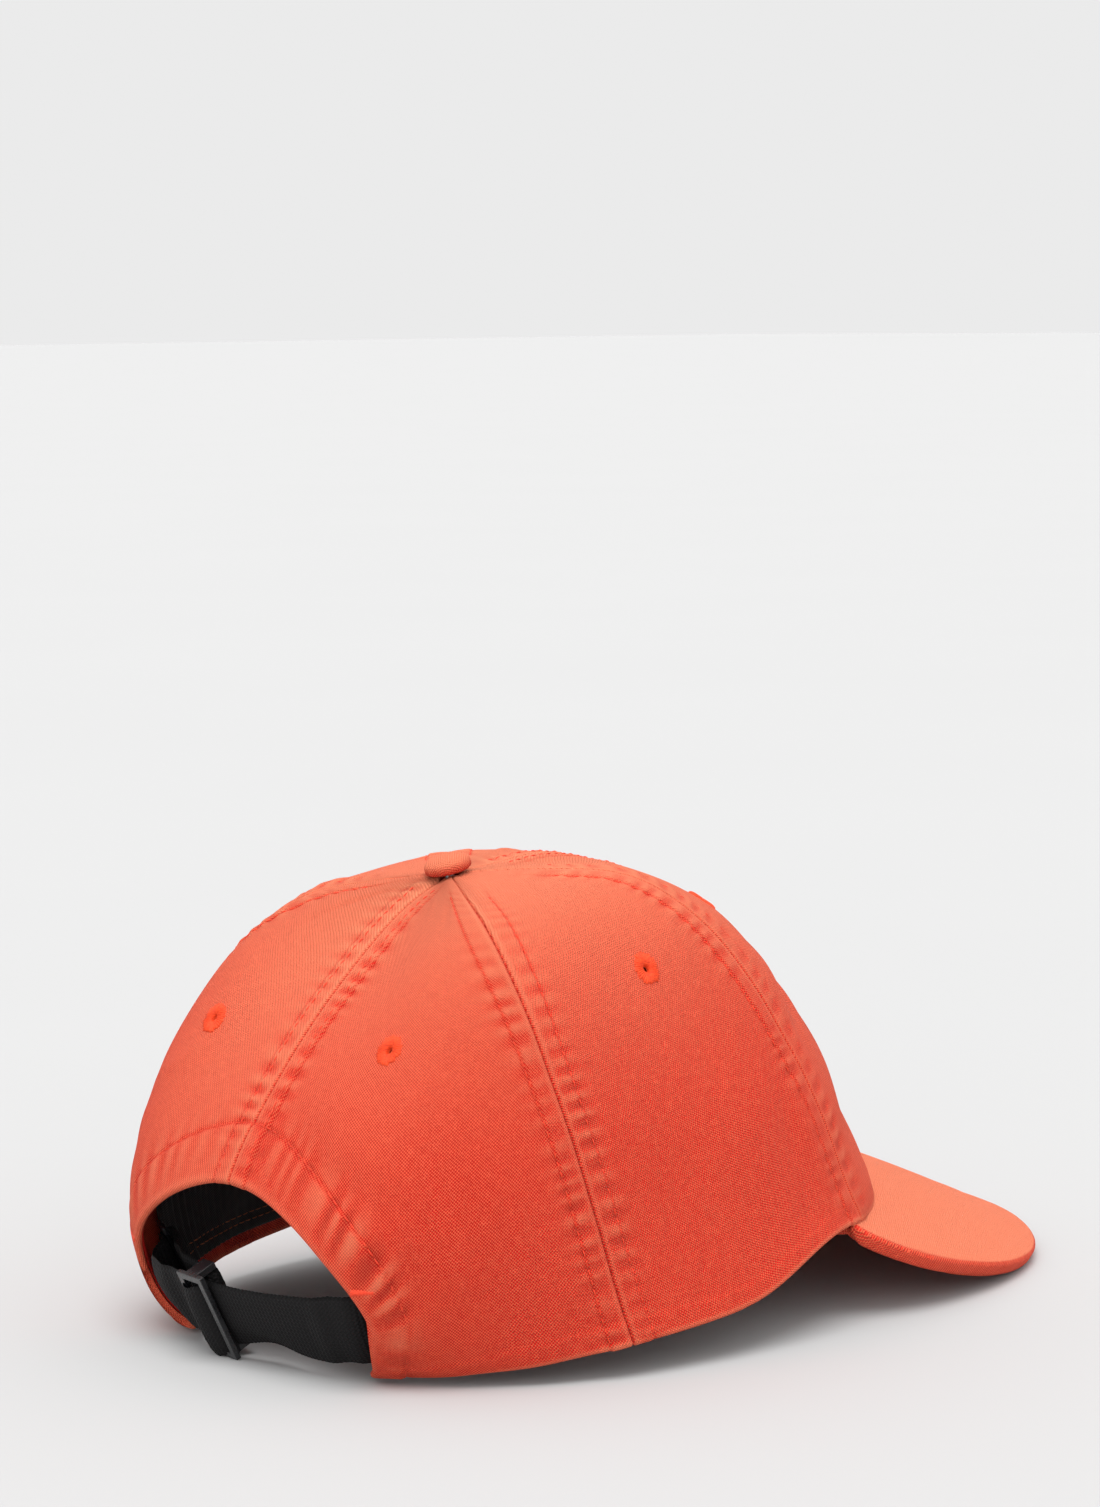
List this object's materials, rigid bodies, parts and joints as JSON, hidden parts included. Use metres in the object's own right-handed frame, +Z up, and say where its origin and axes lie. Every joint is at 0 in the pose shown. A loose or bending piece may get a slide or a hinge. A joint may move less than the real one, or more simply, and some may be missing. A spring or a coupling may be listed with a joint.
{
  "type": "strapback cap",
  "caption": "Soft panelled cotton cap with a curved visor, sewn eyelets, a covered top button and a webbing strap with a plastic slide buckle across the rear opening.",
  "frame": {"origin": "under the middle of the cap's bounding box, on the surface it rests on", "axes": "+Z up; +X to the wearer's left; the visor points along -Y and the strap is on the +Y side"},
  "size_m": [0.1692, 0.2771, 0.1259],
  "materials": {
    "washed_cotton": "washed plain weave",
    "bright_thread": "dense embroidery thread",
    "seam_tape": "plain cotton tape",
    "sweatband_twill": "cotton twill",
    "webbing": "ribbed woven webbing",
    "buckle_plastic": "moulded satin",
    "visor_board_plastic": "moulded matte",
    "button_steel": "plain pressed"
  },
  "bodies": {
    "cap": {"arch_facing": "washed_cotton", "bartack_left": "bright_thread", "bartack_right": "bright_thread", "eyelet_front_left": "bright_thread", "eyelet_front_right": "bright_thread", "eyelet_rear_left": "bright_thread", "eyelet_rear_right": "bright_thread", "eyelet_side_left": "bright_thread", "eyelet_side_right": "bright_thread", "front_panel_left": "washed_cotton", "front_panel_right": "washed_cotton", "rear_panel_left": "washed_cotton", "rear_panel_right": "washed_cotton", "ring_tab": "webbing", "seam_tape_front": "seam_tape", "seam_tape_front_left": "seam_tape", "seam_tape_front_right": "seam_tape", "seam_tape_rear": "seam_tape", "seam_tape_rear_left": "seam_tape", "seam_tape_rear_right": "seam_tape", "side_panel_left": "washed_cotton", "side_panel_right": "washed_cotton", "strap": "webbing", "strap_ring": "buckle_plastic", "sweatband": "sweatband_twill", "top_button_cover": "washed_cotton", "top_button_rivet": "button_steel", "top_button_shell": "button_steel", "visor_board": "visor_board_plastic", "visor_top_cover": "washed_cotton", "visor_under_cover": "washed_cotton"},
    "slider": {"strap_end_loop": "webbing"},
    "buckle": {"buckle": "buckle_plastic"}
  },
  "joints": [
    {"name": "buckle_slide", "type": "hinge", "parent": "cap", "child": "slider", "pos_m": [0, 0.02347, 0.02838], "axis": [0, 0.1452, 0.9894], "range_deg": [-6, 17]},
    {"name": "buckle_tilt", "type": "hinge", "parent": "slider", "child": "buckle", "pos_m": [0.01047, 0.12685, 0.01423], "axis": [0.0316, 0.4423, 0.8963], "range_deg": [-3, 3]}
  ]
}
